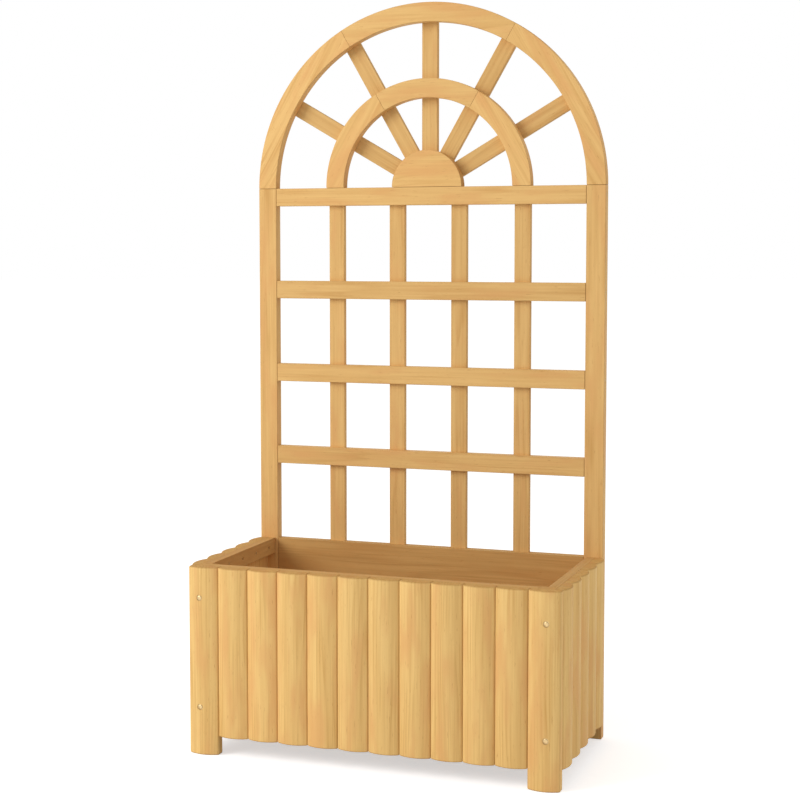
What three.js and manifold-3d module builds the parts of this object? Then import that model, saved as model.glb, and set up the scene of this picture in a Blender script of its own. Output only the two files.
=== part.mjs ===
// Wooden floor planter with an arched trellis.
// The box is a palisade of half-round logs on inner battens; the trellis stands behind it on two
// posts that run from the floor to an arch with a fan of spokes.
// Millimetres. X runs along the width, the front faces -Y and +Z is up. The origin is on the floor,
// in the middle of the outer box.
import * as THREE from "three";
import { mergeVertices } from "three/addons/utils/BufferGeometryUtils.js";
import Module from "manifold-3d";

// ---------------------------------------------------------------- driving sizes

// Gap left in every wood-to-wood joint.
const FIT = 0.2;

// Half-round logs.
const LOG_WIDTH = 57; // across the front
const SIDE_LOG_WIDTH = 60.8; // the side logs are ripped wider, so that five of them fill the depth
const LOG_EDGE = 14; // thickness at the straight edges
const LOG_CROWN = 8; // how far the rounded face swells past the edges
const LOG_EASE = 1.6; // eased corner between the rounded face and an edge

// The box.
const FRONT_LOGS = 12; // across the front, with the two leg logs at the ends
const SIDE_LOGS = 5;
const BOX_TOP = 340;
const GROUND_GAP = 34; // the walls end this far above the floor
const CORNER_POST_DEPTH = 19;
const CORNER_POST_WIDTH = 30;
const BATTEN_THICKNESS = 16;
const BATTEN_HEIGHT = 30;
const FLOOR_LEVEL = 102; // top of the lower battens, where the floor boards lie
const FLOOR_THICKNESS = 14;
const FLOOR_BOARDS = 4;
const DRAIN_GAP = 5;
const BACK_BOARDS = 3;

// Bolts that hold each front leg to its corner post.
const BOLT_HOLE = 7;
const BOLT_HEAD_SEAT = 11; // diameter of the counterbore in the leg
const BOLT_HEAD_DEPTH = 5; // depth of the counterbore below the crown
const BOLT_INSET = 24; // from the outer edge of the leg
const BOLT_TOP_DROP = 55; // upper bolt, below the rim
const BOLT_BOTTOM_RISE = 53; // lower bolt, above the wall's lower edge

// The trellis.
const FRAME_THICKNESS = 20; // posts, rails, arch, ring and hub
const FRAME_WIDTH = 36; // posts, arch and ring
const RAIL_WIDTH = 34;
const LATH_WIDTH = 31; // bars and spokes
const LATH_THICKNESS = 10;
const SPRING_LINE = 1022; // the arch stands on the posts here, and the top rail lies just below
const RAIL_COUNT = 4;
const FIRST_BAY = 178; // from the top rail to the second
const BAY = 161; // between the other rails
const BAR_COUNT = 4;
const BAR_STOP = 8; // wood left above the bars in the top rail
const BAR_FOOT = 60; // how far the bars reach down behind the top of the back wall
const RING_RADIUS = 184; // middle of the inner ring, and of the outer bars below it
const HUB_RADIUS = 69;
const SPOKE_COUNT = 5;
const SPOKE_TIP = 22; // the mitred tips start this far from the fan's centre
const SPOKE_END_INSET = 8; // the spokes end this far inside the arch's outer edge
const ARCH_SEGMENTS = 3;

// Sanded edges.
const EDGE_EASE = 1.5;

// ---------------------------------------------------------------- derived places

const halfWidth = (FRONT_LOGS * LOG_WIDTH) / 2;
const logBack = LOG_EDGE + FIT; // depth behind the front edge line where battens begin
const sideStart = LOG_EDGE + FIT / 2; // the side logs stand right behind the leg
const trellisFront = sideStart + SIDE_LOGS * SIDE_LOG_WIDTH + FIT / 2;
const battenStart = LOG_EDGE + CORNER_POST_DEPTH; // side battens and floor begin behind the corner posts
const battenEnd = trellisFront - FIT;
const trellisBack = trellisFront + FRAME_THICKNESS;
const totalDepth = LOG_CROWN + trellisBack + FIT + LATH_THICKNESS;
const frontEdgeLine = LOG_CROWN - totalDepth / 2; // Y of the front logs' straight edges
const innerFace = halfWidth - logBack - BATTEN_THICKNESS; // X of the side battens' inner faces
const cornerInner = halfWidth - logBack - CORNER_POST_WIDTH; // X of the corner posts' inner faces
const wallHeight = BOX_TOP - GROUND_GAP;
const archRadius = halfWidth - FRAME_WIDTH / 2; // middle line of the arch
const postInner = halfWidth - FRAME_WIDTH;
const boltHeights = [BOX_TOP - BOLT_TOP_DROP, GROUND_GAP + BOLT_BOTTOM_RISE];
const barSpacing = (2 * RING_RADIUS) / (BAR_COUNT - 1);
const barPlaces = Array.from({ length: BAR_COUNT }, (_, i) => -RING_RADIUS + i * barSpacing);

// ---------------------------------------------------------------- solids

const wasm = await Module();
wasm.setup();

function toSolid(geometry) {
  const plain = geometry.index ? geometry.toNonIndexed() : geometry.clone();
  plain.deleteAttribute("normal");
  plain.deleteAttribute("uv");
  const merged = mergeVertices(plain, 1e-4);
  return new wasm.Manifold(
    new wasm.Mesh({
      numProp: 3,
      vertProperties: merged.attributes.position.array,
      triVerts: new Uint32Array(merged.index.array),
    }),
  );
}

function toGeometry(solid) {
  const mesh = solid.getMesh();
  const geometry = new THREE.BufferGeometry();
  geometry.setAttribute("position", new THREE.BufferAttribute(mesh.vertProperties, 3));
  geometry.setIndex(new THREE.BufferAttribute(mesh.triVerts, 1));
  const faceted = geometry.toNonIndexed();
  faceted.computeVertexNormals();
  return faceted;
}

function cut(geometry, cutters) {
  return toGeometry(cutters.reduce((solid, cutter) => solid.subtract(toSolid(cutter)), toSolid(geometry)));
}

// An outline extruded along +Z from 0 to length, with its end edges eased inside the outline.
function extrudeEased(outline, length, curveSegments = 1) {
  const geometry = new THREE.ExtrudeGeometry(outline, {
    depth: length - 2 * EDGE_EASE,
    curveSegments,
    bevelThickness: EDGE_EASE,
    bevelSize: EDGE_EASE,
    bevelOffset: -EDGE_EASE,
    bevelSegments: 1,
  });
  return geometry.translate(0, 0, EDGE_EASE);
}

// A rectangle from the origin with its four corners eased.
function easedRectangle(width, height) {
  const e = EDGE_EASE;
  return new THREE.Shape()
    .moveTo(e, 0)
    .lineTo(width - e, 0)
    .lineTo(width, e)
    .lineTo(width, height - e)
    .lineTo(width - e, height)
    .lineTo(e, height)
    .lineTo(0, height - e)
    .lineTo(0, e);
}

// Section of a half-round log: flat back at y = LOG_EDGE, rounded face towards -y.
function logSection(width) {
  const half = (width - FIT) / 2;
  const radius = (half * half + LOG_CROWN * LOG_CROWN) / (2 * LOG_CROWN);
  const centre = radius - LOG_CROWN;
  const reach = Math.asin(half / radius) - LOG_EASE / radius;
  return new THREE.Shape()
    .moveTo(half, LOG_EASE)
    .lineTo(half, LOG_EDGE)
    .lineTo(-half, LOG_EDGE)
    .lineTo(-half, LOG_EASE)
    .absarc(0, centre, radius, -Math.PI / 2 - reach, -Math.PI / 2 + reach, false);
}

// ---------------------------------------------------------------- wood

const wood = {
  log: { color: 0xe3b671, roughness: 0.62 },
  trellis: { color: 0xe0b073, roughness: 0.6 },
  inner: { color: 0xc9995a, roughness: 0.72 },
};

function piece(name, finish, geometry) {
  const material = new THREE.MeshStandardMaterial({ ...wood[finish], metalness: 0 });
  const mesh = new THREE.Mesh(geometry, material);
  mesh.name = name;
  return mesh;
}

// A straight board given by its lowest corner and its size; the grain runs along the longest side.
function board(name, finish, corner, size) {
  const along = size.indexOf(Math.max(...size));
  const outlines = [
    [size[2], size[1]],
    [size[0], size[2]],
    [size[0], size[1]],
  ];
  const geometry = extrudeEased(easedRectangle(...outlines[along]), size[along]);
  if (along === 0) geometry.rotateY(Math.PI / 2).translate(0, 0, size[2]);
  if (along === 1) geometry.rotateX(-Math.PI / 2).translate(0, 0, size[2]);
  const mesh = piece(name, finish, geometry);
  mesh.position.set(...corner);
  return mesh;
}

function log(name, height, width) {
  return piece(name, "log", extrudeEased(logSection(width), height, 6));
}

// ---------------------------------------------------------------- the box

function boltHoles(geometry, x, y, seatDepth) {
  const hole = (diameter, from, to, z) =>
    new THREE.CylinderGeometry(diameter / 2, diameter / 2, to - from, 24)
      .translate(x, y + (from + to) / 2, z);
  const through = 2 * (LOG_CROWN + battenStart);
  const cutters = boltHeights.map((z) => hole(BOLT_HOLE, -through / 2, through / 2, z));
  if (seatDepth) cutters.push(...boltHeights.map((z) => hole(BOLT_HEAD_SEAT, -through / 2, seatDepth, z)));
  return cut(geometry, cutters);
}

function frontWall() {
  const wall = new THREE.Group();
  for (let i = 0; i < FRONT_LOGS; i++) {
    const isLeg = i === 0 || i === FRONT_LOGS - 1;
    const side = i === 0 ? "left" : "right";
    const outwards = i === 0 ? -1 : 1;
    const name = isLeg ? "front_leg_" + side : "front_log_" + i;
    const mesh = log(name, isLeg ? BOX_TOP : wallHeight, LOG_WIDTH);
    if (isLeg) {
      const boltX = outwards * (LOG_WIDTH / 2 - BOLT_INSET);
      mesh.geometry = boltHoles(mesh.geometry, boltX, -LOG_CROWN, BOLT_HEAD_DEPTH);
    }
    mesh.position.set(-halfWidth + (i + 0.5) * LOG_WIDTH, 0, isLeg ? 0 : GROUND_GAP);
    wall.add(mesh);
  }
  return wall;
}

// One side wall, for outwards = -1 on the left and 1 on the right.
function sideWall(side, outwards) {
  const wall = new THREE.Group();
  for (let i = 0; i < SIDE_LOGS; i++) {
    const mesh = log("side_log_" + side + "_" + (i + 1), wallHeight, SIDE_LOG_WIDTH);
    mesh.rotation.z = (outwards * Math.PI) / 2;
    mesh.position.set(outwards * halfWidth, sideStart + (i + 0.5) * SIDE_LOG_WIDTH, GROUND_GAP);
    wall.add(mesh);
  }
  return wall;
}

// Stands inside the corner, against the back of the leg and of the first side log.
function cornerPost(side, outwards) {
  const x = outwards < 0 ? -cornerInner - CORNER_POST_WIDTH : cornerInner;
  const size = [CORNER_POST_WIDTH, CORNER_POST_DEPTH - 2 * FIT, wallHeight];
  const post = board("corner_post_" + side, "inner", [x, logBack, GROUND_GAP], size);
  const boltX = outwards * (halfWidth - BOLT_INSET) - x;
  post.geometry = cut(
    post.geometry,
    boltHeights.map((z) =>
      new THREE.CylinderGeometry(BOLT_HOLE / 2, BOLT_HOLE / 2, 2 * CORNER_POST_DEPTH, 24)
        .translate(boltX, CORNER_POST_DEPTH / 2, z - GROUND_GAP),
    ),
  );
  return post;
}

function battens() {
  const rows = { top: BOX_TOP - BATTEN_HEIGHT, bottom: FLOOR_LEVEL - BATTEN_HEIGHT };
  const frontLength = 2 * (cornerInner - FIT);
  const sideLength = battenEnd - battenStart;
  return Object.entries(rows).flatMap(([row, z]) => [
    board(
      "front_batten_" + row,
      "inner",
      [-frontLength / 2, logBack, z],
      [frontLength, BATTEN_THICKNESS, BATTEN_HEIGHT],
    ),
    ...["left", "right"].map((side) =>
      board(
        "side_batten_" + side + "_" + row,
        "inner",
        [side === "left" ? -innerFace - BATTEN_THICKNESS : innerFace, battenStart, z],
        [BATTEN_THICKNESS, sideLength, BATTEN_HEIGHT],
      ),
    ),
  ]);
}

function floor() {
  const parts = [];
  const length = 2 * (halfWidth - LOG_EDGE - FIT);
  const span = battenEnd - battenStart - 2 * FIT;
  const width = (span - (FLOOR_BOARDS - 1) * DRAIN_GAP) / FLOOR_BOARDS;
  for (let i = 0; i < FLOOR_BOARDS; i++) {
    const y = battenStart + FIT + i * (width + DRAIN_GAP);
    const corner = [-length / 2, y, FLOOR_LEVEL + FIT];
    parts.push(board("floor_board_" + (i + 1), "inner", corner, [length, width, FLOOR_THICKNESS]));
  }
  const bearerStart = logBack + BATTEN_THICKNESS + FIT;
  const bearerLength = trellisFront - FIT - bearerStart;
  parts.push(
    board(
      "floor_bearer",
      "inner",
      [-BATTEN_THICKNESS / 2, bearerStart, FLOOR_LEVEL - BATTEN_HEIGHT],
      [BATTEN_THICKNESS, bearerLength, BATTEN_HEIGHT],
    ),
  );
  return parts;
}

// ---------------------------------------------------------------- the trellis

// Housings in the rear face of a rail or board, where the bars lie flush with the back.
// bottom and top are heights above the board's lower edge.
function housed(mesh, leftEnd, bottom, top) {
  const width = LATH_WIDTH + 2 * FIT;
  const depth = LATH_THICKNESS + FIT;
  const cutters = barPlaces.map((x) =>
    new THREE.BoxGeometry(width, 2 * depth, top - bottom)
      .translate(x - leftEnd, FRAME_THICKNESS, (bottom + top) / 2),
  );
  mesh.geometry = cut(mesh.geometry, cutters);
  return mesh;
}

function posts() {
  return ["left", "right"].map((side) =>
    board(
      "trellis_post_" + side,
      "trellis",
      [side === "left" ? -halfWidth : postInner, 0, 0],
      [FRAME_WIDTH, FRAME_THICKNESS, SPRING_LINE - FIT],
    ),
  );
}

// Lower edge of each rail, from the top one down.
const railPlaces = Array.from({ length: RAIL_COUNT }, (_, i) =>
  SPRING_LINE - RAIL_WIDTH - (i ? FIRST_BAY + (i - 1) * BAY : 0),
);

function rails() {
  const end = postInner - FIT;
  return railPlaces.map((z, i) => {
    const size = [2 * end, FRAME_THICKNESS, RAIL_WIDTH - (i ? 0 : FIT)];
    const rail = board("trellis_rail_" + (i + 1), "trellis", [-end, 0, z], size);
    const top = i ? RAIL_WIDTH + EDGE_EASE : RAIL_WIDTH - BAR_STOP;
    return housed(rail, -end, -EDGE_EASE, top);
  });
}

function bars() {
  const bottom = BOX_TOP - BAR_FOOT;
  const top = SPRING_LINE - BAR_STOP - FIT;
  return barPlaces.map((x, i) =>
    board(
      "trellis_bar_" + (i + 1),
      "trellis",
      [x - LATH_WIDTH / 2, FRAME_THICKNESS - LATH_THICKNESS, bottom],
      [LATH_WIDTH, LATH_THICKNESS, top - bottom],
    ),
  );
}

// Horizontal boards between the posts close the back of the box.
function backWall() {
  const end = postInner - FIT;
  const height = wallHeight / BACK_BOARDS;
  return Array.from({ length: BACK_BOARDS }, (_, i) => {
    const z = GROUND_GAP + i * height;
    const size = [2 * end, FRAME_THICKNESS, height - FIT];
    const name = "back_board_" + (i + 1);
    const mesh = board(name, "inner", [-end, 0, z], size);
    const footInBoard = BOX_TOP - BAR_FOOT - FIT - z;
    return footInBoard < height ? housed(mesh, -end, Math.max(footInBoard, -EDGE_EASE), height) : mesh;
  });
}

// ---------------------------------------------------------------- the fan
// Drawn flat, with x across, y up from the spring line and z towards the front.

// A curved segment of a ring, sawn from a plank, between two angles.
function ringSegment(name, middleRadius, from, to) {
  const inner = middleRadius - FRAME_WIDTH / 2;
  const outer = middleRadius + FRAME_WIDTH / 2;
  const sliver = FIT / 2 / middleRadius;
  const outline = new THREE.Shape()
    .absarc(0, 0, outer, from + sliver, to - sliver, false)
    .absarc(0, 0, inner, to - sliver, from + sliver, true);
  return piece(name, "trellis", extrudeEased(outline, FRAME_THICKNESS, 9));
}

function ringOfSegments(names, middleRadius) {
  const step = Math.PI / ARCH_SEGMENTS;
  return names.map((name, i) => ringSegment(name, middleRadius, i * step, (i + 1) * step));
}

function hub() {
  const lift = FIT / HUB_RADIUS;
  const outline = new THREE.Shape().absarc(0, 0, HUB_RADIUS, lift, Math.PI - lift, false);
  return piece("fan_hub", "trellis", extrudeEased(outline, FRAME_THICKNESS, 18));
}

// A lath whose inner end is mitred to a point, so that neighbouring spokes meet along their mitres.
function spoke(name, angle, halfStep) {
  const half = LATH_WIDTH / 2;
  const slope = Math.tan(halfStep);
  const relief = FIT / 2 / Math.cos(halfStep);
  const shoulder = (half + relief) / slope;
  const end = halfWidth - SPOKE_END_INSET;
  const tip = SPOKE_TIP * slope - relief;
  const outline = new THREE.Shape()
    .moveTo(SPOKE_TIP, -tip)
    .lineTo(shoulder, -half)
    .lineTo(end, -half)
    .lineTo(end, half)
    .lineTo(shoulder, half)
    .lineTo(SPOKE_TIP, tip);
  const mesh = piece(name, "trellis", extrudeEased(outline, LATH_THICKNESS));
  mesh.rotation.z = angle;
  mesh.position.z = -FIT - LATH_THICKNESS;
  return mesh;
}

function fan() {
  const group = new THREE.Group();
  const names = ["right", "top", "left"];
  group.add(...ringOfSegments(names.map((side) => "arch_" + side), archRadius));
  group.add(...ringOfSegments(names.map((side) => "fan_ring_" + side), RING_RADIUS));
  group.add(hub());
  const step = Math.PI / (SPOKE_COUNT + 1);
  for (let i = 1; i <= SPOKE_COUNT; i++) {
    group.add(spoke("fan_spoke_" + i, Math.PI - i * step, step / 2));
  }
  group.rotation.x = Math.PI / 2;
  group.position.set(0, FRAME_THICKNESS, SPRING_LINE);
  return group;
}

// ---------------------------------------------------------------- assembly

const box = new THREE.Group();
box.add(frontWall(), sideWall("left", -1), sideWall("right", 1));
box.add(cornerPost("left", -1), cornerPost("right", 1));
box.add(...battens(), ...floor());

const trellis = new THREE.Group();
trellis.add(...posts(), ...rails(), ...bars(), ...backWall(), fan());
trellis.position.y = trellisFront;

const planter = new THREE.Group();
planter.add(box, trellis);
planter.position.y = frontEdgeLine;

export default planter;
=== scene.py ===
# %% [markdown]
# # A wooden planter with an arched trellis
# The planter is a box of half-round logs on four short feet, and an arched trellis stands on its back.
# It is all softwood under a clear honey stain, held together with zinc-plated bolts and screws.
# The joinery already exists at its real size as the frame, so nothing is placed by eye here. Each board
# is made once more on top of its frame node, with sanded edges, screw holes and grain of its own.

import math
import random

import bmesh
import bpy
import numpy as np
from mathutils import Matrix, Vector


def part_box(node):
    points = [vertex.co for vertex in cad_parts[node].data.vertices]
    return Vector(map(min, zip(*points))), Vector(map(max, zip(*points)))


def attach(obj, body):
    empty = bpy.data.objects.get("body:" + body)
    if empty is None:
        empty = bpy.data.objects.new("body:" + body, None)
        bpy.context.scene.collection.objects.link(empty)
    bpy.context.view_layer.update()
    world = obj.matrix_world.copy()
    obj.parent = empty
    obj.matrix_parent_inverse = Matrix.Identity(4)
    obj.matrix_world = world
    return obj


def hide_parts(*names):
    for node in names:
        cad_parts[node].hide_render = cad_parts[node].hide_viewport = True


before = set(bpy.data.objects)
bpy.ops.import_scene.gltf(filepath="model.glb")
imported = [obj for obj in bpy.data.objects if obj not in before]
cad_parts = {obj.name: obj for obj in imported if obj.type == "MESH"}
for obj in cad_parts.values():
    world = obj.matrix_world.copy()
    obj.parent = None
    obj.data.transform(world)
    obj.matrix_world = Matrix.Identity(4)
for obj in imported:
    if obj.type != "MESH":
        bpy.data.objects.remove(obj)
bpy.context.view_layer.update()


def nodes(start):
    """The frame's nodes whose names start so, in the order of their names."""
    return sorted(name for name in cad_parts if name.startswith(start))


def middle_of(node):
    """The middle of a node's box."""
    low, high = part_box(node)
    return (low + high) / 2


# %% [markdown]
# ## Camera
# A long lens from a little to the right, near the height of the trellis, keeps the posts almost upright.
# A small lens shift does part of what tilting would do, so that the posts lean as little as they can.

# %% Camera
CAMERA_PLACE = (0.982, -2.817, 0.908)
CAMERA_TURN = math.radians(19.23)  # to the left of straight ahead
CAMERA_DROP = math.radians(4.15)  # below the horizon

lens = bpy.data.cameras.new("camera")
lens.lens = 74.6
lens.shift_y = -0.04
camera = bpy.data.objects.new("camera", lens)
camera.location = CAMERA_PLACE
camera.rotation_euler = (math.pi / 2 - CAMERA_DROP, 0, CAMERA_TURN)
bpy.context.scene.collection.objects.link(camera)
bpy.context.scene.camera = camera
bpy.context.scene.view_settings.view_transform = "Standard"
print("camera at", CAMERA_PLACE)

# %% [markdown]
# ## Light
# The light of a product studio: a pale room all round, which comes last below, gives most of it. A large
# soft lamp high on the left models the rounded logs, and a weak one on the right keeps the end wall from
# going dull.
# A lamp's power is worked out from the light that it should add to a board turned towards it, where 1 is
# the light at which a colour renders as it is written.

# %% Light
MIDDLE = Vector((0, 0, 0.65))  # the lamps point here


def lamp(name, turn, rise, distance, size, light):
    """An area lamp turn degrees to the right of the front and rise degrees up, aimed at the middle."""
    data = bpy.data.lights.new(name, "AREA")
    data.shape = "DISK"
    data.size = size
    data.energy = light * math.pi**2 * distance**2
    made = bpy.data.objects.new(name, data)
    turn, rise = math.radians(turn), math.radians(rise)
    away = Vector((math.sin(turn) * math.cos(rise), -math.cos(turn) * math.cos(rise), math.sin(rise)))
    made.location = MIDDLE + away * distance
    made.rotation_euler = away.to_track_quat("Z", "Y").to_euler()
    bpy.context.scene.collection.objects.link(made)
    return made


lamps = [
    lamp("key_lamp", turn=-50, rise=24, distance=4.0, size=2.4, light=0.6),
    lamp("side_lamp", turn=95, rise=20, distance=4.5, size=2.5, light=0.1),
]
print("lamps:", [round(made.data.energy) for made in lamps], "W")

# %% [markdown]
# ## Colours and nodes
# Colours are written as sRGB hex values, as a colour picker shows them, and one function turns them
# into the linear values that the renderer works with. One helper adds a node, sets its options and
# joins its inputs, so that each material below reads from top to bottom like a recipe. Given a node
# where an input wants a value, it joins that node's first output.

# %% Colours and nodes
def linear(hex_colour):
    """An sRGB hex colour as linear red, green, blue and alpha."""
    parts = [int(hex_colour[i : i + 2], 16) / 255 for i in (1, 3, 5)]
    return [p / 12.92 if p <= 0.04045 else ((p + 0.055) / 1.055) ** 2.4 for p in parts] + [1.0]


def add(tree, kind, inputs=None, **settings):
    """Adds a node with its settings; each input gets a value, a node or one of a node's outputs."""
    made = tree.nodes.new(kind)
    for name, value in settings.items():
        setattr(made, name, value)
    for socket, value in (inputs or {}).items():
        if isinstance(value, bpy.types.Node):
            value = value.outputs[0]
        if isinstance(value, bpy.types.NodeSocket):
            tree.links.new(value, made.inputs[socket])
        else:
            made.inputs[socket].default_value = value
    return made


def blank_material(name):
    """A material with nothing in it but its output."""
    material = bpy.data.materials.new(name)
    material.use_nodes = True
    material.node_tree.nodes.clear()
    return material, material.node_tree, add(material.node_tree, "ShaderNodeOutputMaterial")


print("honey stain:", [round(c, 3) for c in linear("#E5B775")[:3]])

# %% [markdown]
# ## Softwood
# Spruce and fir are pale, with straight rings of soft early wood that end in a thin, darker line of late
# wood. The rings are cylinders round the middle of the tree, so they are worked out in three dimensions:
# the distance from the tree's middle, bent a little along the trunk, cut wherever the board's surface
# happens to be. Faces then show straight or flamed grain, and sawn ends show arcs, by themselves.
# Every board carries its own coordinates for this, in an attribute named grain: x runs along the grain
# and the zero of y and z is the tree's middle, so no two boards are cut from the same place.
# Real rings are 2 to 3 mm apart. Here they are twice as wide, because closer ones would blur away in a
# picture of the whole planter.
# The rest of what the eye sees is noise, stretched along the grain: as wide and as long as it is in wood.

# %% The figure of the wood
# How wide and how long each figure is, in metres, and how fine its detail.
FIGURES = {
    "wander": (0.11, 0.6, 2.0),  # the trunk isn't straight
    "uneven": (0.022, 1.2, 1.0),  # good years and bad years
    "crisp": (0.028, 0.16, 1.0),  # the lines stand out in some places and melt away in others
    "fibre": (0.0028, 0.2, 3.0),  # the finest streaks
    "raised": (0.02, 0.1, 1.0),  # places where the fibre shows more
    "streak": (0.01, 0.3, 2.0),  # broad bands of tone
    "fleck": (0.0012, 0.02, 2.0),  # short resin flecks
    "cloud": (0.03, 0.13, 2.0),  # patches where the stain took more or less
}
# Where a figure's noise starts and stops to matter, and what it is then turned into.
SPREAD = {
    "crisp": (0.4, 0.64, 0.12, 1.0),
    "raised": (0.38, 0.62, 0.25, 1.25),
    "fleck": (0.66, 0.76, 0.0, 0.55),
    "cloud": (0.42, 0.7, 0.0, 0.75),
}
TONE_STEP = 0.035  # how much one unit of a board's tone changes it


def figure_of(tree, grain, tone):
    """Every figure of the wood by name, as a node or an output."""
    figure = {}
    for kind, (width, length, detail) in FIGURES.items():
        scale = (1 / length, 1 / width, 1 / width)
        place = add(tree, "ShaderNodeVectorMath", {0: grain, 1: scale}, operation="MULTIPLY")
        links = {"Vector": place, "Scale": 1.0, "Detail": detail, "Roughness": 0.55}
        noise = add(tree, "ShaderNodeTexNoise", links)
        figure[kind] = noise.outputs["Color" if kind == "wander" else "Fac"]
    # A board with a deeper tone also has more of the warm clouds.
    links = {0: tone, 1: TONE_STEP, 2: figure["cloud"]}
    figure["cloud"] = add(tree, "ShaderNodeMath", links, operation="MULTIPLY_ADD")
    for kind, (low, high, start, end) in SPREAD.items():
        links = {"Value": figure[kind], "From Min": low, "From Max": high, "To Min": start, "To Max": end}
        figure[kind] = add(tree, "ShaderNodeMapRange", links, interpolation_type="SMOOTHSTEP")
    return figure


print("figures:", ", ".join(FIGURES))

# %% [markdown]
# The rings are the distance from the tree's middle, counted in years. Within a year the wood stays pale,
# darkens towards autumn and breaks off where the next spring begins, so a ramp with a smooth climb and a
# steep end draws the line.

# %% Year rings
RING = 0.0056  # width of a year's growth
BEND = 0.03  # scale of the trunk's wandering: about a centimetre along a board
GOOD_YEARS = 3.4  # how many years the uneven growth shifts a ring
RAMP = ((0.5, 0.1), (0.82, 1.0), (0.9, 0.8))  # part of the year and how dark it is; it starts and ends at 0


def late_wood_of(tree, grain, figure):
    """1 in the darkest line of a year and 0 in its pale early wood."""
    links = {0: figure["wander"], 1: (0.5, 0.5, 0.5)}
    centred = add(tree, "ShaderNodeVectorMath", links, operation="SUBTRACT")
    links = {0: centred, 1: (0.0, BEND, BEND), 2: grain}
    bent = add(tree, "ShaderNodeVectorMath", links, operation="MULTIPLY_ADD")
    across = add(tree, "ShaderNodeVectorMath", {0: bent, 1: (0, 1, 1)}, operation="MULTIPLY")
    radius = add(tree, "ShaderNodeVectorMath", {0: across}, operation="LENGTH").outputs["Value"]
    years = add(tree, "ShaderNodeMath", {0: radius, 1: RING}, operation="DIVIDE")
    uneven = add(tree, "ShaderNodeMath", {0: figure["uneven"], 1: GOOD_YEARS}, operation="MULTIPLY")
    age = add(tree, "ShaderNodeMath", {0: years, 1: uneven}, operation="ADD")
    year = add(tree, "ShaderNodeMath", {0: age}, operation="FRACT")
    late_wood = add(tree, "ShaderNodeValToRGB", {"Fac": year})
    ramp = late_wood.color_ramp
    ramp.interpolation = "B_SPLINE"
    ramp.elements[0].color = (0, 0, 0, 1)
    ramp.elements[1].color = (0, 0, 0, 1)
    for place, value in RAMP:
        ramp.elements.new(place).color = (value, value, value, 1)
    return late_wood


print("rings", round(RING * 1000, 1), "mm apart")

# %% [markdown]
# The stain lies over all of that. It is a thin oil stain, open-pored and nearly matt: it darkens what
# drinks more of it, which is late wood, the clouds, a sanded edge and a planed board's sawn end, and it
# reflects very little, so the colour stays warm even where the light grazes it. The darker sanded edges
# and sawn ends also hold painted shade: the shade of a rounded edge, and of the rim's top faces.

# %% Stained softwood
GLOSS = 0.12  # an open-pored stain reflects far less than varnish, which is 0.5
EARLY, LINE, STREAKS = 0.14, 0.42, 0.9  # depth of colour: early wood, what a line adds, and streaks
# painted shade on the sanded edges, partly the extra stain they drink
EDGE_STAIN_AND_SHADE = -0.08
FIBRE_RELIEF, LINE_RELIEF = 0.8, 0.5  # shares of the relief below
RELIEF = 0.0004  # how far fibre stands up after staining
RELIEF_STRENGTH = 0.25
FIBRE_ROUGH, END_ROUGH = 0.14, 0.15  # how much rougher fibre and sawn ends are
RESIN = "#B98A55"
# a sawn end's colour: more stain in the end grain, and painted shade for the rim's top faces
SAWN_END_AND_SHADE = "#D0C0A8"


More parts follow.
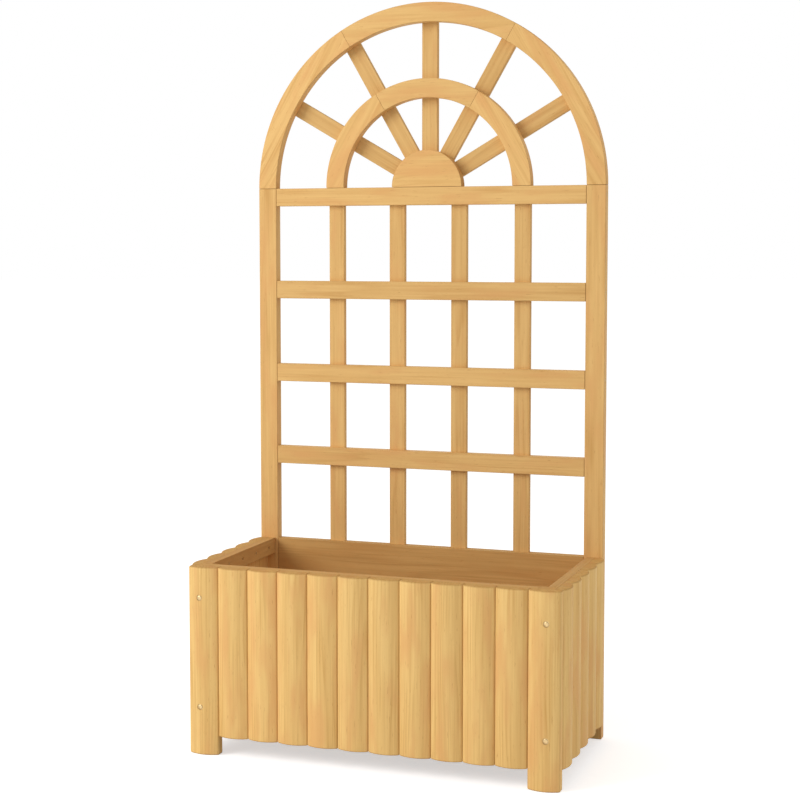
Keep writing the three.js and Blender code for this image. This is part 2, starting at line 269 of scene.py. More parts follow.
def softwood(name, pale, late, warm, roughness, end_stain_and_shade):
    """Stained softwood: pale early wood, late wood lines, warmer clouds, and sawn ends that may be darker,
    from stain and painted shade.
    """
    material, tree, output = blank_material(name)
    grain = add(tree, "ShaderNodeAttribute", attribute_name="grain").outputs["Vector"]
    tone = add(tree, "ShaderNodeAttribute", attribute_name="board_tone").outputs["Fac"]
    cut_end = add(tree, "ShaderNodeAttribute", attribute_name="cut_end").outputs["Fac"]
    eased = add(tree, "ShaderNodeAttribute", attribute_name="eased_edge").outputs["Fac"]
    figure = figure_of(tree, grain, tone)
    late_wood = late_wood_of(tree, grain, figure)

    # How deep the colour is: late wood lines, which a sawn end shows in full, then fibre and streaks.
    crisp = add(tree, "ShaderNodeMath", {0: figure["crisp"], 1: cut_end}, operation="MAXIMUM")
    lines = add(tree, "ShaderNodeMath", {0: late_wood, 1: crisp}, operation="MULTIPLY")
    fibre = add(tree, "ShaderNodeMath", {0: figure["fibre"], 1: 0.5}, operation="SUBTRACT")
    fibre = add(tree, "ShaderNodeMath", {0: fibre, 1: figure["raised"]}, operation="MULTIPLY")
    streak = add(tree, "ShaderNodeMath", {0: figure["streak"], 1: 0.5}, operation="SUBTRACT")
    depth = add(tree, "ShaderNodeMath", {0: lines, 1: LINE, 2: EARLY}, operation="MULTIPLY_ADD")
    depth = add(tree, "ShaderNodeMath", {0: fibre, 1: depth}, operation="ADD")
    links = {0: streak, 1: STREAKS, 2: depth}
    depth = add(tree, "ShaderNodeMath", links, operation="MULTIPLY_ADD", use_clamp=True)

    # The colour itself, in the order in which it comes about: wood, stain, resin, a darker sawn end, then
    # the board's tone and its sanded edges. The sawn end and the sanded edges hold painted shade as well as
    # stain.
    # sawn ends darker: end-grain stain plus painted shade on the rim's tops
    sawn = add(tree, "ShaderNodeMath", {0: cut_end, 1: end_stain_and_shade}, operation="MULTIPLY")
    lift = add(tree, "ShaderNodeMath", {0: tone, 1: TONE_STEP, 2: 1.0}, operation="MULTIPLY_ADD")
    # sanded edges darker: painted shade of the rounded edge, partly stain
    lift = add(tree, "ShaderNodeMath", {0: eased, 1: EDGE_STAIN_AND_SHADE, 2: lift}, operation="MULTIPLY_ADD")
    grey = add(tree, "ShaderNodeCombineColor", {0: lift, 1: lift, 2: lift})
    colour = linear(pale)
    for blend, amount, coat in (
        ("MIX", depth, linear(late)),
        ("MIX", figure["cloud"], linear(warm)),
        ("MULTIPLY", figure["fleck"], linear(RESIN)),
        ("MULTIPLY", sawn, linear(SAWN_END_AND_SHADE)),
        ("MULTIPLY", 1.0, grey),
    ):
        links = {0: amount, 6: colour, 7: coat}
        colour = add(tree, "ShaderNodeMix", links, data_type="RGBA", blend_type=blend).outputs[2]

    # Fibre and late wood stand a little proud. Fibre and sawn ends are rougher than the rest.
    relief = add(tree, "ShaderNodeMath", {0: late_wood, 1: LINE_RELIEF}, operation="MULTIPLY")
    links = {0: figure["fibre"], 1: FIBRE_RELIEF, 2: relief}
    relief = add(tree, "ShaderNodeMath", links, operation="MULTIPLY_ADD")
    links = {"Strength": RELIEF_STRENGTH, "Distance": RELIEF, "Height": relief}
    bump = add(tree, "ShaderNodeBump", links)
    links = {0: cut_end, 1: END_ROUGH, 2: roughness - FIBRE_ROUGH / 2}
    rough = add(tree, "ShaderNodeMath", links, operation="MULTIPLY_ADD")
    links = {0: figure["fibre"], 1: FIBRE_ROUGH, 2: rough}
    rough = add(tree, "ShaderNodeMath", links, operation="MULTIPLY_ADD")
    links = {
        "Base Color": colour,
        "Roughness": rough,
        "IOR": 1.5,
        "Specular IOR Level": GLOSS,
        "Normal": bump,
    }
    shader = add(tree, "ShaderNodeBsdfPrincipled", links)
    tree.links.new(shader.outputs[0], output.inputs["Surface"])
    return material


# The inner boards are sawn all round, and their ends look alike. Their colours are darker than the outer
# wood's: painted shade, for the inside of the box and the tops of its battens.
WOOD = {
    "log_wood": softwood("stained_spruce_log", "#EFC780", "#CB9953", "#E3AE6E", 0.58, 0.75),
    "trellis_wood": softwood("stained_spruce_planed", "#E9BD79", "#CA9653", "#E1AA6B", 0.56, 0.75),
    "inner_wood": softwood("stained_spruce_sawn_shaded", "#CFA263", "#AC7C43", "#C59356", 0.7, 0.0),
}
print("woods:", [material.name for material in WOOD.values()])

# %% [markdown]
# ## Zinc-plated steel
# Bolts and screws are zinc-plated and yellow passivated, which tints the bright metal a pale straw. The
# metal keeps the default IOR, and its roughness varies with a fine noise, as the plating does.

# %% Zinc-plated steel
def zinc_plate(name):
    """Zinc plating on steel, yellow passivated."""
    material, tree, output = blank_material(name)
    place = add(tree, "ShaderNodeTexCoord").outputs["Object"]
    uneven = add(tree, "ShaderNodeTexNoise", {"Vector": place, "Scale": 900.0, "Detail": 3.0})
    rough = {"Value": uneven.outputs["Fac"], "To Min": 0.34, "To Max": 0.5}
    links = {
        "Base Color": linear("#D8BD8C"),
        "Metallic": 1.0,
        "Roughness": add(tree, "ShaderNodeMapRange", rough),
    }
    shader = add(tree, "ShaderNodeBsdfPrincipled", links)
    tree.links.new(shader.outputs[0], output.inputs["Surface"])
    return material


ZINC = zinc_plate("zinc_plated_steel")
print("metal:", ZINC.name)

# %% [markdown]
# ## From a bmesh to a finished board
# A board starts as a plain block or a swept outline. Its edges are sanded round with a small bevel, and
# the new faces are marked, because they are painted a little darker: partly the stain that a sanded edge
# drinks, partly painted shade of the rounded edge.

# %% Sanded edges
MM = 0.001
EASE = 1.1 * MM  # radius of a sanded edge
JOINT_EASE = 0.35 * MM  # where one board butts against the next
SHARP = math.radians(50)  # edges that turn by more than this are sanded
TOLERANCE = 0.01 * MM  # lengths that differ by less are the same


def new_bmesh():
    """An empty bmesh that can mark its sanded faces."""
    bm = bmesh.new()
    bm.faces.layers.float.new("eased_edge")
    return bm


def ease(bm, radius=EASE, segments=3, where=None):
    """Sands the sharp edges, or only those of them that the test where() picks."""
    mark = bm.faces.layers.float["eased_edge"]
    sharp = [e for e in bm.edges if e.calc_face_angle(0) > SHARP]
    made = bmesh.ops.bevel(
        bm,
        geom=[e for e in sharp if where is None or where(e)],
        offset=radius,
        offset_type="OFFSET",
        segments=segments,
        profile=0.5,
        affect="EDGES",
        clamp_overlap=True,
        material=-1,
    )
    for face in made["faces"]:
        face[mark] = 1.0
    return bm


print("edges sanded to", EASE / MM, "mm, at joints to", JOINT_EASE / MM, "mm")

# %% [markdown]
# Holes and housings are cut after the sanding, so their edges stay crisp, as a drill or a saw leaves
# them. That is a boolean between two finished solids, which bmesh has no operator for, so it is done
# with a modifier that is applied at once.

# %% Objects and cuts
def as_object(name, bm, material):
    """Turns a bmesh into an object with smooth shading."""
    mesh = bpy.data.meshes.new(name)
    bm.normal_update()
    bm.to_mesh(mesh)
    bm.free()
    mesh.shade_smooth()
    mesh.materials.append(material)
    made = bpy.data.objects.new(name, mesh)
    bpy.context.scene.collection.objects.link(made)
    return made


def carve(piece, cutters):
    """Cuts every cutter, a bmesh, out of the piece."""
    joined = bpy.data.meshes.new("cutters")
    whole = bmesh.new()
    for cutter in cutters:
        cutter.to_mesh(joined)
        whole.from_mesh(joined)
        cutter.free()
    whole.to_mesh(joined)
    whole.free()
    tool = bpy.data.objects.new("cutters", joined)
    bpy.context.scene.collection.objects.link(tool)
    cut = piece.modifiers.new("cut", "BOOLEAN")
    cut.operation = "DIFFERENCE"
    cut.solver = "EXACT"
    cut.use_self = True
    cut.object = tool
    shaped = piece.evaluated_get(bpy.context.evaluated_depsgraph_get())
    mesh = bpy.data.meshes.new_from_object(shaped)
    piece.modifiers.clear()
    piece.data = mesh
    bpy.data.objects.remove(tool)
    return piece


print("solver for the cuts: exact")

# %% [markdown]
# When a board is shaped it gets its grain coordinates: the direction of the grain, the direction across
# it, and a place in a tree that is drawn at random, from a fixed seed, so that every run gives the same
# boards. A weighted-normal modifier keeps the flat faces flat in the light and only shades the edges.

# %% Grain for each board
draw = random.Random(12)
boards = []
# How far from the tree's middle boards are cut, across and through: rift sawn or flat sawn.
RIFT = ((0.03, 0.07), (0.02, 0.05))
FLAT = ((0.0, 0.02), (0.05, 0.09))
TREE_LENGTH = 4.0  # boards are taken from anywhere along it
END_GAIN, END_START = 1.2, 0.15  # how soon a slanted face looks like a sawn end


def set_attribute(mesh, name, kind, domain, values):
    """Writes one value for each point or face of a mesh."""
    layer = mesh.attributes.get(name) or mesh.attributes.new(name, kind, domain)
    layer.data.foreach_set("vector" if kind == "FLOAT_VECTOR" else "value", np.ravel(values))


def give_grain(piece, along, across, pith, tone):
    """Grain coordinates. along and across are directions; pith is how far off the tree's middle lies."""
    mesh = piece.data
    along = np.array(Vector(along).normalized())
    across = np.array(Vector(across).normalized())
    through = np.cross(along, across)
    points = np.empty(len(mesh.vertices) * 3, np.float32)
    mesh.vertices.foreach_get("co", points)
    points = points.reshape(-1, 3)
    middle = (points.min(0) + points.max(0)) / 2
    axes = np.stack([along, across, through], axis=1)
    start = [
        draw.uniform(0, TREE_LENGTH),
        draw.choice((-1, 1)) * draw.uniform(*pith[0]),
        draw.uniform(*pith[1]),
    ]
    set_attribute(mesh, "grain", "FLOAT_VECTOR", "POINT", (points - middle) @ axes + start)
    tone += draw.uniform(-1, 1)
    set_attribute(mesh, "board_tone", "FLOAT", "POINT", np.full(len(points), tone))
    normals = np.empty(len(mesh.polygons) * 3, np.float32)
    mesh.polygons.foreach_get("normal", normals)
    # 1 on a face sawn square across the grain, 0 along it, and in between on slanted and rounded ones.
    facing_end = np.abs(normals.reshape(-1, 3) @ along)
    cut_end = np.clip(facing_end * END_GAIN - END_START, 0, 1)
    set_attribute(mesh, "cut_end", "FLOAT", "FACE", cut_end)


def finish_board(piece, node, along, across, pith, tone=0.0):
    """Grain, soft shading and its place in the object: the piece stands for its frame node."""
    give_grain(piece, along, across, pith, tone)
    soft = piece.modifiers.new("flat_faces", "WEIGHTED_NORMAL")
    soft.mode = "FACE_AREA"
    soft.weight = 60
    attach(piece, "root")
    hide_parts(node)
    boards.append(piece)
    return piece


print("boards cut", RIFT[0], "m from the middle when rift sawn,", FLAT[0], "m when flat sawn")

# %% [markdown]
# ## Screw holes
# Boards are screwed, and a screw head lies in a countersunk hole just below the surface. A screw is
# written down as a point on the surface and the direction in which its head looks out. The hole is a
# cone cut into the board, and the screws themselves are made at the end from the same list.

# %% Screw holes
HEAD = 7.6 * MM  # diameter of a countersunk head
SHANK = 3.8 * MM
SUNK = 0.35 * MM  # how far the head lies below the surface
HEAD_DEPTH = 2.4 * MM
HEAD_ROOM = 0.15 * MM  # between the head and its hole
PROUD = 1 * MM  # a cutter starts this far above the surface
screws = []


def facing(point, outward, roll=0.0):
    """The matrix that moves to the point and turns +Z outward, rolled round that way by some radians."""
    turn = Vector(outward).to_track_quat("Z", "Y").to_matrix().to_4x4()
    return Matrix.Translation(point) @ turn @ Matrix.Rotation(roll, 4, "Z")


def turned(bm, point, outward):
    """Turns what points along +Z to point outward, and moves it to the point."""
    bmesh.ops.transform(bm, matrix=facing(point, outward), verts=bm.verts)
    return bm


def cone(bm, low, high, foot, top, segments=32):
    """Adds an upright cone from low to high with those two radii; six segments make a hexagon."""
    bmesh.ops.create_cone(
        bm,
        cap_ends=True,
        segments=segments,
        radius1=foot,
        radius2=top,
        depth=high - low,
        matrix=Matrix.Translation((0, 0, (low + high) / 2)),
    )
    return bm


def countersink(point, outward):
    """The tool that cuts one countersunk hole; it also notes down the screw."""
    screws.append((Vector(point), Vector(outward)))
    depth = HEAD_DEPTH + SUNK
    slope = (HEAD - SHANK) / 2 / HEAD_DEPTH
    top = HEAD / 2 + HEAD_ROOM + PROUD * slope
    foot = top - (depth + PROUD) * slope
    return turned(cone(new_bmesh(), -depth, PROUD, foot, top, segments=24), point, outward)


print("screw heads are", HEAD / MM, "mm across")

# %% [markdown]
# ## Half-round logs
# The walls are palisades of half-round logs. Each has a flat back, two straight edges and a gently
# crowned face. A spin of one point draws the crown as a true arc; two corners close the outline, which
# is then extruded to the log's length. The edges of the crown and of its sawn ends are sanded rounder
# than the trellis is, which gives the wall its soft grooves. The edges at the flat back stay nearly
# sharp, so that each log sits tight against the battens and its neighbours.

# %% Half-round logs
LOG_EDGE = 14 * MM  # thickness of a log at its straight edges
LOG_EASE = 2.3 * MM  # radius of the edges round the crown
SNUG = 0.1 * MM  # the logs are pushed tight together, so each side grows by this
CROWN_STEPS = 26


def extrude(bm, way):
    """Gives the flat shape in bm its thickness."""
    made = bmesh.ops.extrude_face_region(bm, geom=bm.faces[:])
    moved = [v for v in made["geom"] if isinstance(v, bmesh.types.BMVert)]
    bmesh.ops.translate(bm, vec=way, verts=moved)
    bmesh.ops.recalc_face_normals(bm, faces=bm.faces)
    return bm


def log_blank(width, thickness, length):
    """A half-round log standing on end, its straight edges' front corners on y = 0."""
    crown = thickness - LOG_EDGE
    half = width / 2 + SNUG
    radius = (half * half + crown * crown) / (2 * crown)
    reach = 2 * math.asin(half / radius)
    bm = new_bmesh()
    first = bm.verts.new((-half, 0, 0))
    bmesh.ops.spin(
        bm,
        geom=[first],
        cent=(0, radius - crown, 0),
        axis=(0, 0, 1),
        angle=reach,
        steps=CROWN_STEPS,
    )
    last = max(bm.verts, key=lambda v: v.co.x)
    corners = [bm.verts.new((half, LOG_EDGE, 0)), bm.verts.new((-half, LOG_EDGE, 0))]
    for a, b in ((last, corners[0]), (corners[0], corners[1]), (corners[1], first)):
        bm.edges.new((a, b))
    bmesh.ops.contextual_create(bm, geom=bm.edges[:])
    extrude(bm, (0, 0, length))
    back = LOG_EDGE - TOLERANCE
    ease(bm, LOG_EASE, segments=4, where=lambda edge: min(v.co.y for v in edge.verts) < back)
    return ease(bm, JOINT_EASE, segments=2)


def log_piece(node, turn):
    """A log in its node's place, turned by so many quarter turns, and the direction across its grain."""
    low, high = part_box(node)
    size = high - low
    width, thickness = (size.y, size.x) if turn else (size.x, size.y)
    bm = log_blank(width, thickness, size.z)
    outward = {0: Vector((0, -1, 0)), 1: Vector((1, 0, 0)), -1: Vector((-1, 0, 0))}[turn]
    place = middle_of(node) + outward * (thickness / 2 - (thickness - LOG_EDGE))
    place.z = low.z
    turn_matrix = Matrix.Rotation(turn * math.pi / 2, 4, "Z")
    bmesh.ops.transform(bm, matrix=Matrix.Translation(place) @ turn_matrix, verts=bm.verts)
    piece = as_object(node + "_wood", bm, WOOD["log_wood"])
    across = (0, 1, 0) if turn else (1, 0, 0)
    return piece, across


print("logs", LOG_EDGE / MM, "mm thick at their edges")

# %% [markdown]
# The two leg logs are bolted to the corner posts behind them, so they are bored through, with a round
# seat for the bolt's head. The holes come from the same places as in the frame.

# %% The log walls
BOLT_INSET = 24 * MM  # from a leg's outer edge
BOLT_DROP = 55 * MM  # upper bolt, below the rim
BOLT_RISE = 53 * MM  # lower bolt, above the foot of the wall
BOLT_HOLE = 7 * MM
SEAT = 11 * MM
SEAT_DEPTH = 5 * MM
BORE = 50 * MM  # bored this far back from the face, through the leg and the corner post
DRILL_START = 5 * MM  # in front of the face
FRONT = (0, -1, 0)


def hole(point, radius, depth):
    """A round cutter that goes in from the front."""
    return turned(cone(new_bmesh(), -depth, DRILL_START, radius, radius), point, FRONT)


leg_low, leg_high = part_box("front_leg_left")
wall_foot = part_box("front_log_1")[0].z
bolt_heights = (leg_high.z - BOLT_DROP, wall_foot + BOLT_RISE)
bolt_x = abs(leg_low.x) + SNUG - BOLT_INSET
bolts = [Vector((way * bolt_x, leg_low.y, height)) for way in (-1, 1) for height in bolt_heights]

for node in nodes("front_l"):  # legs and logs
    piece, across = log_piece(node, 0)
    if "leg" in node:
        low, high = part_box(node)
        cutters = []
        for bolt in (b for b in bolts if low.x < b.x < high.x):
            cutters += [hole(bolt, BOLT_HOLE / 2, BORE), hole(bolt, SEAT / 2, SEAT_DEPTH)]
        carve(piece, cutters)
    finish_board(piece, node, (0, 0, 1), across, RIFT)
for side, turn in (("left", -1), ("right", 1)):
    for node in nodes("side_log_" + side):
        piece, across = log_piece(node, turn)
        finish_board(piece, node, (0, 0, 1), across, RIFT)
print("logs:", len(boards), "bolt places:", len(bolts))

# %% [markdown]
# ## Straight boards
# Posts, rails, bars, battens and floor boards are planed to a rectangle. A cube scaled to the node's box
# and sanded on all its edges is the whole shape. Grain always follows the longest side. Rails and the
# top board of the back wall also have housings, shallow notches across the back in which the bars lie.
# Bars, spokes and rails get darker tones than the posts: painted shade for the laths that lie low in the
# trellis and behind other boards, partly a difference between planks. Bars and spokes are the darkest,
# and the rails lie between them and the posts.

# %% Straight boards
HOUSING_GAP = 0.2 * MM
# painted shade: the lower and set-back laths are darker, partly from their planks
RAIL_SHADE_TONE, BAR_SHADE_TONE, SPOKE_SHADE_TONE = -1.3, -2.3, -2.8  # 0 for the rest; lower is darker


def block(low, high):
    """A box from its lowest to its highest corner."""
    bm = new_bmesh()
    size = high - low
    scale = Matrix.Diagonal((*size, 1))
    bmesh.ops.create_cube(bm, size=1, matrix=Matrix.Translation((low + high) / 2) @ scale)
    return bm


def board(node, slot, cutters=(), tone=0.0, radius=EASE):
    """A straight board in place of its node."""
    low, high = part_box(node)
    size = high - low
    axes = sorted(range(3), key=lambda axis: -size[axis])
    along, across = (Vector([float(i == axis) for i in range(3)]) for axis in axes[:2])
    piece = as_object(node + "_wood", ease(block(low, high), radius), WOOD[slot])
    if cutters:
        carve(piece, cutters)
    return finish_board(piece, node, along, across, FLAT, tone)


def housings(node):
    """Cutters for the notches in the back of a board where the bars lie."""
    low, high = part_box(node)
    cutters = []
    for bar in nodes("trellis_bar"):
        bar_low, bar_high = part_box(bar)
        if bar_low.z > high.z or bar_high.z < low.z:
            continue
        start = bar_low - Vector((1, 1, 1)) * HOUSING_GAP
        end = Vector((bar_high.x + HOUSING_GAP, high.y + PROUD, bar_high.z + HOUSING_GAP))
        cutters.append(block(start, end))
    return cutters


print("housings are", HOUSING_GAP / MM, "mm wider than the bars on each side")

# %% [markdown]
# Where the screws go follows from what a board has to hold: a post takes one screw into each rail and
# back board through its outer edge, and two from behind into the battens of the side walls. Bars are
# screwed into every rail they cross. Battens are screwed to each log from inside, and floor boards to
# the battens and the bearer below them.

# %% The trellis's posts, rails and bars
BACK = (0, 1, 0)
END_MARGIN = 14 * MM  # a screw nearer to the end would split the bar
RAILS, BACK_BOARDS = nodes("trellis_rail"), nodes("back_board")

for side, outwards in (("left", -1), ("right", 1)):
    node = "trellis_post_" + side
    low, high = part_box(node)
    outer = high.x if outwards > 0 else low.x
    middle = middle_of(node)
    heights = [middle_of(held).z for held in RAILS + BACK_BOARDS]
    cutters = [countersink((outer, middle.y, z), (outwards, 0, 0)) for z in heights]
    for row in ("top", "bottom"):
        batten = middle_of("side_batten_" + side + "_" + row)
        cutters.append(countersink((batten.x, high.y, batten.z), BACK))
    board(node, "trellis_wood", cutters)

for node in RAILS:
    board(node, "trellis_wood", housings(node), tone=RAIL_SHADE_TONE)
for node in nodes("trellis_bar"):
    low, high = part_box(node)
    middle = middle_of(node)
    heights = [min(middle_of(rail).z, high.z - END_MARGIN) for rail in RAILS]
    heights.append((low.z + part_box(BACK_BOARDS[-1])[1].z) / 2)
    cutters = [countersink((middle.x, high.y, z), BACK) for z in heights]
    board(node, "trellis_wood", cutters, tone=BAR_SHADE_TONE)
print("boards so far:", len(boards), "screws so far:", len(screws))

# %% [markdown]
# The inner boards hold the box together and are hidden once it is filled. Battens and corner posts butt
# tight against the logs and each other along the rim, so their edges are hardly sanded, or dark lines
# would show between them.

# %% The box's inner boards
for node in BACK_BOARDS:
    board(node, "inner_wood", housings(node))

for side, outwards in (("left", -1), ("right", 1)):
    node = "corner_post_" + side
    through = [b for b in bolts if b.x * outwards > 0]
    bores = [hole(b, BOLT_HOLE / 2, BORE) for b in through]
    board(node, "inner_wood", bores, radius=JOINT_EASE)

for row in ("top", "bottom"):
    node = "front_batten_" + row
    low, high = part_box(node)
    held = sorted(middle_of(log).x for log in nodes("front_log"))
    height = middle_of(node).z
    cutters = [countersink((x, high.y, height), BACK) for x in held]
    board(node, "inner_wood", cutters, radius=JOINT_EASE)
    for side, outwards in (("left", -1), ("right", 1)):
        node = "side_batten_" + side + "_" + row
        low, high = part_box(node)
        inner = low.x if outwards > 0 else high.x
        held = sorted(middle_of(log).y for log in nodes("side_log_" + side))
        cutters = [countersink((inner, y, height), (-outwards, 0, 0)) for y in held]
        board(node, "inner_wood", cutters, radius=JOINT_EASE)

supports = (middle_of("side_batten_left_bottom").x, 0.0, middle_of("side_batten_right_bottom").x)
for node in nodes("floor_board"):
    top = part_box(node)[1].z
    middle = middle_of(node)
    board(node, "inner_wood", [countersink((x, middle.y, top), (0, 0, 1)) for x in supports])
board("floor_bearer", "inner_wood")
print("boards so far:", len(boards), "screws so far:", len(screws))

# %% [markdown]
# ## Arch and ring
# A curved frame can't be sawn from one plank, so it is made of three segments that meet on radii. Each
# is sawn from a straight board, and its grain runs straight along the chord while the shape bends away
# from it. A rectangle spun about the fan's centre by sixty degrees gives the segment, and the sanded
# ends leave the fine line that shows where two segments meet.

# %% Arch and ring
FAN_CENTRE = Vector((0, 0, 1.022))  # on the spring line, where the arch leaves the posts
SEGMENTS = ("right", "top", "left")
SEGMENT_TURN = math.pi / len(SEGMENTS)
JOINT_GAP = 0.1 * MM  # on each side of a joint
ARC_STEPS = 28


def on_fan(radius, angle, y):
    """The point at that radius and angle on the fan, where angle 0 is to the right."""
    return FAN_CENTRE + Vector((radius * math.cos(angle), y, radius * math.sin(angle)))


def follows_arc(edge):
    """True for an edge along the curve, and not across the end of a segment."""
    a, b = ((v.co - FAN_CENTRE) * Vector((1, 0, 1)) for v in edge.verts)
    return abs(a.length - b.length) < TOLERANCE and abs(edge.verts[0].co.y - edge.verts[1].co.y) < TOLERANCE


def segment(node, outer, width, angle):
    """A curved segment that starts at that angle."""
    low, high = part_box(node)
    start = angle + JOINT_GAP / outer
    turn = SEGMENT_TURN - 2 * JOINT_GAP / outer
    bm = new_bmesh()
    places = ((outer - width, low.y), (outer, low.y), (outer, high.y), (outer - width, high.y))
    end = bm.faces.new([bm.verts.new(on_fan(radius, start, y)) for radius, y in places])
    bmesh.ops.spin(
        bm,
        geom=[end, *end.edges, *end.verts],
        cent=FAN_CENTRE,
        axis=(0, -1, 0),
        angle=turn,
        steps=ARC_STEPS,
    )
    bmesh.ops.recalc_face_normals(bm, faces=bm.faces)
    ease(bm, where=follows_arc)
    ease(bm, JOINT_EASE, segments=2)
    piece = as_object(node + "_wood", bm, WOOD["trellis_wood"])
    middle = angle + SEGMENT_TURN / 2
    chord = (-math.sin(middle), 0, math.cos(middle))
    radial = (math.cos(middle), 0, math.sin(middle))
    return finish_board(piece, node, chord, radial, FLAT)


post_low, post_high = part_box("trellis_post_right")
frame_width = post_high.x - post_low.x
radii = {"arch_": post_high.x, "fan_ring_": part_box("fan_ring_right")[1].x}
for family, outer in radii.items():
    for number, side in enumerate(SEGMENTS):
        segment(family + side, outer, frame_width, number * SEGMENT_TURN)
print("outer radii:", {family: round(outer, 4) for family, outer in radii.items()})

# %% [markdown]
# ## Hub and spokes
# The fan's hub is half a disc, sawn from a wide board with the grain across. It is a circle cut in two
# and extruded. Behind it five laths fan out. Their inner ends are cut to a point, so that each meets
# its neighbours along a mitre, and they are screwed from behind into the hub, the ring and the arch.
# Two of them lie over the joints of ring and arch, and there they take one screw into each segment.

# %% Hub and spokes
SPOKE_WIDTH = 31 * MM
SPOKE_TIP = 22 * MM  # where the pointed ends start, from the fan's centre
SPOKE_END_INSET = 8 * MM  # the spokes end this far inside the arch's outer edge
HUB_SCREW = 0.78  # how far out the hub's screws are, as a share of its radius
PAIR_OFFSET = 8 * MM  # each screw of a pair from the joint between them
ARCH_SCREW_INSET = 1 * MM  # in from the middle of the arch, away from the spokes' ends
SPOKES = nodes("fan_spoke")
SPOKE_TURN = math.pi / (len(SPOKES) + 1)


def hub(node):
    """Half a disc standing on the top rail."""
    low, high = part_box(node)
    bm = new_bmesh()
    upright = Matrix.Translation((0, low.y, FAN_CENTRE.z)) @ Matrix.Rotation(math.pi / 2, 4, "X")
    bmesh.ops.create_circle(bm, cap_ends=True, segments=112, radius=high.x, matrix=upright)
    disc = [*bm.verts, *bm.edges, *bm.faces]
    foot = (0, 0, low.z)
    bmesh.ops.bisect_plane(bm, geom=disc, plane_co=foot, plane_no=(0, 0, -1), clear_outer=True)
    extrude(bm, (0, high.y - low.y, 0))
    ease(bm, where=lambda edge: max(v.co.z for v in edge.verts) > low.z + TOLERANCE)
    ease(bm, JOINT_EASE, segments=2)
    piece = as_object(node + "_wood", bm, WOOD["trellis_wood"])
    return finish_board(piece, node, (1, 0, 0), (0, 0, 1), FLAT)


def spoke(node, angle):
    """A lath from near the centre to the arch, pointed at its inner end."""
    low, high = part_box(node)
    half = SPOKE_WIDTH / 2
    slope = math.tan(SPOKE_TURN / 2)
    relief = JOINT_GAP / math.cos(SPOKE_TURN / 2)
    shoulder = (half + relief) / slope
    end = radii["arch_"] - SPOKE_END_INSET
    tip = SPOKE_TIP * slope - relief
    lower = [(SPOKE_TIP, -tip), (shoulder, -half), (end, -half)]
    outline = lower + [(x, -z) for x, z in reversed(lower)]
    bm = new_bmesh()
    bm.faces.new([bm.verts.new((x, 0, z)) for x, z in outline])
    ease(extrude(bm, (0, high.y - low.y, 0)))
    turn = Matrix.Rotation(-angle, 4, "Y")
    place = Matrix.Translation((0, low.y, FAN_CENTRE.z))
    bmesh.ops.transform(bm, matrix=place @ turn, verts=bm.verts)
    return as_object(node + "_wood", bm, WOOD["trellis_wood"])


def spoke_screws(angle, back, over_joint):
    """Countersinks for one spoke: hub, ring and arch, in pairs where it lies over their joints."""
    middles = {family: outer - frame_width / 2 for family, outer in radii.items()}
    sides = (-PAIR_OFFSET, PAIR_OFFSET) if over_joint else (0.0,)
    places = [(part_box("fan_hub")[1].x * HUB_SCREW, 0.0)]
    for radius in (middles["fan_ring_"], middles["arch_"] - ARCH_SCREW_INSET):
        places += [(radius, side) for side in sides]
    return [countersink(on_fan(radius, angle + side / radius, back), BACK) for radius, side in places]


hub("fan_hub")
for number, node in enumerate(SPOKES):
    angle = math.pi - (number + 1) * SPOKE_TURN
    joints = angle / SEGMENT_TURN
    over_joint = math.isclose(joints, round(joints))
    piece = spoke(node, angle)
    carve(piece, spoke_screws(angle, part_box(node)[1].y, over_joint))
    along = (math.cos(angle), 0, math.sin(angle))
    across = (-math.sin(angle), 0, math.cos(angle))
    finish_board(piece, node, along, across, FLAT, tone=SPOKE_SHADE_TONE)
print("boards in all:", len(boards), "screws in all:", len(screws))

# %% [markdown]
# ## Screws
# One countersunk screw is turned on the lathe, that is, spun from half its outline, and its cross recess
# is cut with two crossed blades. The finished head is then copied to every place on the list.

# %% Screws
HEAD_CHAMFER = 0.3 * MM
STUB = 1 * MM  # of the shank only this much is made; the rest is out of sight
RECESS = (HEAD * 0.3, 0.45 * MM, 1.2 * MM)  # half the length and half the width of a blade, and its depth
CREASE = math.radians(32)  # on metal, edges that turn by more than this look sharp


def lathe(profile, steps):
    """Spins half an outline, given as radius and height, round the Z axis."""
    bm = bmesh.new()
    points = [bm.verts.new((radius, 0, height)) for radius, height in profile]
    edges = [bm.edges.new(pair) for pair in zip(points, points[1:])]
    bmesh.ops.spin(
        bm,
        geom=[*points, *edges],
        cent=(0, 0, 0),
        axis=(0, 0, 1),
        angle=2 * math.pi,
        steps=steps,
        use_merge=True,
    )
    bmesh.ops.remove_doubles(bm, verts=bm.verts, dist=TOLERANCE)
    bmesh.ops.recalc_face_normals(bm, faces=bm.faces)
    return bm


def screw_head():
    """A countersunk head looking along +Z, its top on z = 0."""
    profile = (
        (0, 0),
        (HEAD / 2 - HEAD_CHAMFER, 0),
        (HEAD / 2, -HEAD_CHAMFER),
        (SHANK / 2, -HEAD_DEPTH),
        (SHANK / 2, -HEAD_DEPTH - STUB),
        (0, -HEAD_DEPTH - STUB),
    )
    piece = as_object("screw_head", lathe(profile, steps=24), ZINC)
    length, width, depth = RECESS
    corners = [Vector((length, width, depth)), Vector((width, length, depth))]
    return carve(piece, [block(-corner, corner) for corner in corners])


def copies(name, pattern, places):
    """One object with the pattern's copy at each place, given as a matrix; the pattern itself goes."""
    whole = bmesh.new()
    for place in places:
        count = len(whole.verts)
        whole.from_mesh(pattern.data)
        whole.verts.ensure_lookup_table()
        bmesh.ops.transform(whole, matrix=place, verts=whole.verts[count:])
    bpy.data.objects.remove(pattern)
    made = as_object(name, whole, ZINC)
    made.data.set_sharp_from_angle(angle=CREASE)
    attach(made, "root")
    return made


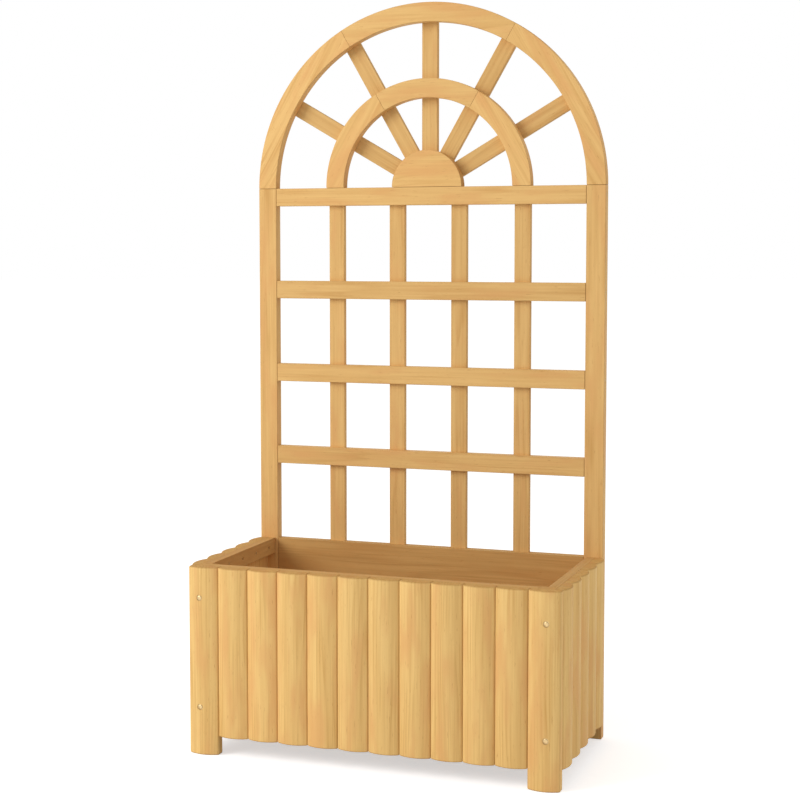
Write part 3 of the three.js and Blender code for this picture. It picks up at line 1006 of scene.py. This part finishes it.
places = [facing(point - outward * SUNK, outward, draw.uniform(0, math.pi)) for point, outward in screws]
screw_set = copies("wood_screws", screw_head(), places)
print("screws:", len(places), "faces:", len(screw_set.data.polygons))

# %% [markdown]
# ## Bolts
# The bolts in the legs have low domed heads with a hexagon socket. A thick washer fills the round seat, so
# that the head lies just below the surface. The upper bolts end in a washer and a nut inside the box; the
# lower ones bite into the end of the batten.

# %% Bolts
HEAD_WIDTH = 8.0 * MM
DOME = 1.7 * MM  # height of the domed head
BAND = 0.5 * MM  # its straight edge below the dome
DOME_STEPS = 8
SPACER = 3.1 * MM  # thickness of the washer in the seat
SPACER_RADIUS = SEAT / 2 - 0.15 * MM
SPACER_CHAMFER = 0.3 * MM
SOCKET = 4.0 * MM  # across the flats
SOCKET_FLOOR = SPACER + 0.6 * DOME
NUT, NUT_HEIGHT, NUT_EASE = 10 * MM, 5 * MM, 0.5 * MM  # across the flats, height, rounded rims
WASHER, WASHER_RADIUS = 1.0 * MM, 6 * MM
BOLT_RADIUS, BOLT_END = 2.9 * MM, 2.5 * MM  # the end that looks out of the nut
NUT_GAP = 0.05 * MM  # between the washer and the post
NUT_ROLL = 0.3  # radians


def bolt_head():
    """A domed head on its washer, looking along +Z, with the washer's foot on z = 0."""
    radius = HEAD_WIDTH / 2
    turns = [math.pi / 2 * step / DOME_STEPS for step in range(DOME_STEPS + 1)]
    dome = [(radius * math.sin(t), SPACER + BAND + (DOME - BAND) * math.cos(t)) for t in turns]
    foot = [
        (radius, SPACER),
        (SPACER_RADIUS - SPACER_CHAMFER, SPACER),
        (SPACER_RADIUS, SPACER - SPACER_CHAMFER),
        (SPACER_RADIUS, 0),
        (0, 0),
    ]
    piece = as_object("bolt_head", lathe(dome + foot, steps=32), ZINC)
    corner = SOCKET / math.sqrt(3)
    socket = cone(bmesh.new(), SOCKET_FLOOR, SOCKET_FLOOR + 2 * DOME, corner, corner, segments=6)
    return carve(piece, [socket])


def nut():
    """A hexagon nut with its bolt's end, on a washer, looking along +Z."""
    corner = NUT / math.sqrt(3)
    top = WASHER + NUT_HEIGHT
    bm = cone(new_bmesh(), WASHER, top, corner, corner, segments=6)
    ease(bm, NUT_EASE, segments=2, where=lambda e: abs(e.verts[0].co.z - e.verts[1].co.z) < TOLERANCE)
    cone(bm, 0, WASHER, WASHER_RADIUS, WASHER_RADIUS)
    cone(bm, top, top + BOLT_END, BOLT_RADIUS, BOLT_RADIUS)
    return as_object("nut", bm, ZINC)


seats = [facing(bolt - Vector(FRONT) * SEAT_DEPTH, FRONT, draw.uniform(0, 1)) for bolt in bolts]
copies("leg_bolts", bolt_head(), seats)
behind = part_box("corner_post_left")[1].y + NUT_GAP
upper = [bolt for bolt in bolts if bolt.z == bolts[0].z]
copies("leg_nuts", nut(), [facing((bolt.x, behind, bolt.z), BACK, NUT_ROLL) for bolt in upper])
print("bolts:", len(seats), "nuts:", len(upper))

# %% [markdown]
# ## Floor and room
# The planter stands on a plain pale floor that reaches to the horizon. In the camera's eyes the floor
# and the room are lifted to white, and metal sees the same in its reflections. All other light meets
# an ordinary pale floor, so the lift adds nothing to the wood, and the shadow under the box stays.

# %% Floor and room
ROOM_LIGHT = 0.605  # strength of the room's light on the wood; the camera sees 1
FLOOR_LIFT = 0.55  # glow that the camera sees on the floor
FLOOR_RADIUS = 45
FLOOR_GAP = 0.2 * MM  # between the floor and the feet


def seen_directly(tree):
    """1 for camera, mirror and see-through rays, 0 for the light that bounces between surfaces."""
    path = add(tree, "ShaderNodeLightPath").outputs
    pair = {0: path["Is Camera Ray"], 1: path["Is Glossy Ray"]}
    either = add(tree, "ShaderNodeMath", pair, operation="MAXIMUM")
    last = {0: either, 1: path["Is Transmission Ray"]}
    return add(tree, "ShaderNodeMath", last, operation="MAXIMUM")


material, tree, output = blank_material("pale_floor")
lift = add(tree, "ShaderNodeMath", {0: seen_directly(tree), 1: FLOOR_LIFT}, operation="MULTIPLY")
glow = add(tree, "ShaderNodeEmission", {"Color": linear("#FFFFFF"), "Strength": lift})
paint = add(tree, "ShaderNodeBsdfDiffuse", {"Color": linear("#E9E9E9")})
both = add(tree, "ShaderNodeAddShader", {0: paint, 1: glow})
tree.links.new(both.outputs[0], output.inputs["Surface"])

bm = bmesh.new()
bmesh.ops.create_circle(bm, cap_ends=True, segments=96, radius=FLOOR_RADIUS)
floor_mesh = bpy.data.meshes.new("floor")
bm.to_mesh(floor_mesh)
bm.free()
floor_mesh.materials.append(material)
studio_floor = bpy.data.objects.new("studio_floor", floor_mesh)
studio_floor.location.z = -FLOOR_GAP
bpy.context.scene.collection.objects.link(studio_floor)

world = bpy.data.worlds.new("studio")
world.use_nodes = True
tree = world.node_tree
tree.nodes.clear()
strength = {"Value": seen_directly(tree), "To Min": ROOM_LIGHT, "To Max": 1.0}
room = {"Color": linear("#FFFFFF"), "Strength": add(tree, "ShaderNodeMapRange", strength)}
add(tree, "ShaderNodeOutputWorld", {"Surface": add(tree, "ShaderNodeBackground", room)})
bpy.context.scene.world = world
print("room light", ROOM_LIGHT, "floor lift", FLOOR_LIFT)
